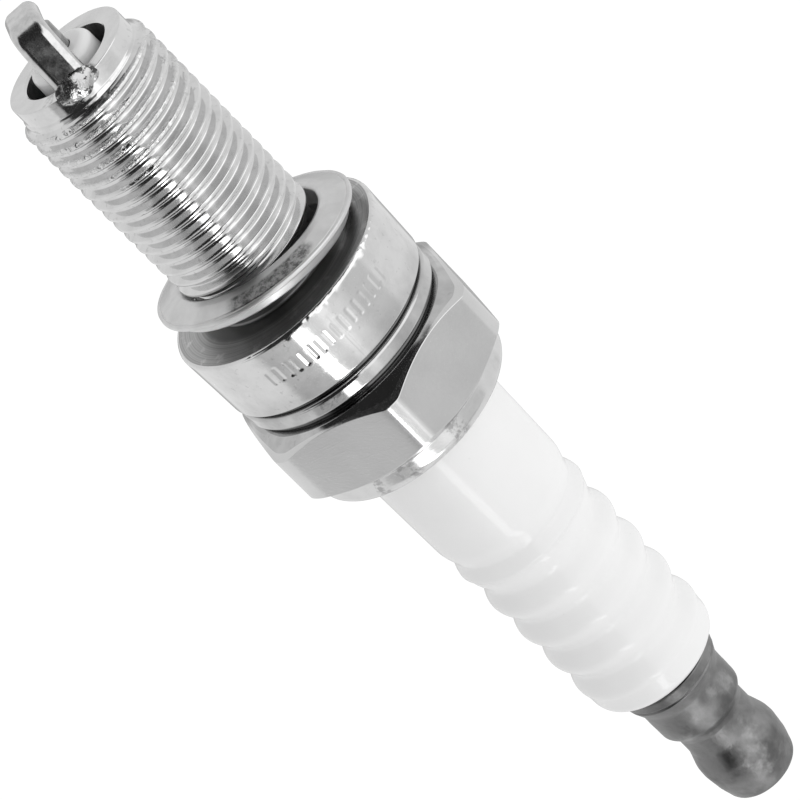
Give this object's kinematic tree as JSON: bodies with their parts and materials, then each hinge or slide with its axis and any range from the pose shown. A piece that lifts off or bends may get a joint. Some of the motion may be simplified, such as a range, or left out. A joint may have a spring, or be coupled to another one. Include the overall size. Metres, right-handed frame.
{
  "type": "spark plug",
  "caption": "Motorcycle spark plug: threaded hexagon shell with loose gasket, ribbed insulator, electrodes with a spark gap and a screw-on terminal nut.",
  "frame": {"origin": "on the plug's axis, in the plane of the shell's flat shoulder that the gasket seats against", "axes": "+Z along the axis towards the firing end; the hexagon has flats across X and corners on Y; the ground electrode stands 6 degrees from -Y"},
  "size_m": [0.016, 0.0184, 0.0762],
  "materials": {
    "plated_shell": "bright nickel plate",
    "electrode_nickel": "smooth nickel alloy",
    "gasket_steel": "satin plated sheet",
    "alumina": "white glaze",
    "copper": "bare copper",
    "glass_seal": "fused glass and metal powder",
    "resistor_carbon": "fused carbon and glass",
    "stud_steel": "bright zinc plate",
    "nut_cast": "dull mottled metal",
    "packing_steel": "bare soft steel",
    "talc": "pressed powder"
  },
  "bodies": {
    "plug_body": {"metal_shell": "plated_shell", "ground_electrode": "electrode_nickel", "insulator": "alumina", "center_electrode": "electrode_nickel", "center_electrode_core": "copper", "lower_glass_seal": "glass_seal", "resistor": "resistor_carbon", "upper_glass_seal": "glass_seal", "terminal_stud": "stud_steel", "nose_packing_washer": "packing_steel", "lower_packing_ring": "packing_steel", "talc_filling": "talc", "upper_packing_ring": "packing_steel"},
    "gasket": {"sealing_gasket": "gasket_steel"},
    "nut": {"terminal_nut": "nut_cast"}
  },
  "joints": [
    {"name": "terminal_nut_unscrew", "type": "slide", "parent": "plug_body", "child": "nut", "axis": [0, 0, -1], "range_m": [0, 0.0098]},
    {"name": "gasket_spin", "type": "hinge", "parent": "plug_body", "child": "gasket", "pos_m": [0, 0, 0.001], "axis": [0.1063, 0.0624, 0.9924], "continuous": true}
  ]
}
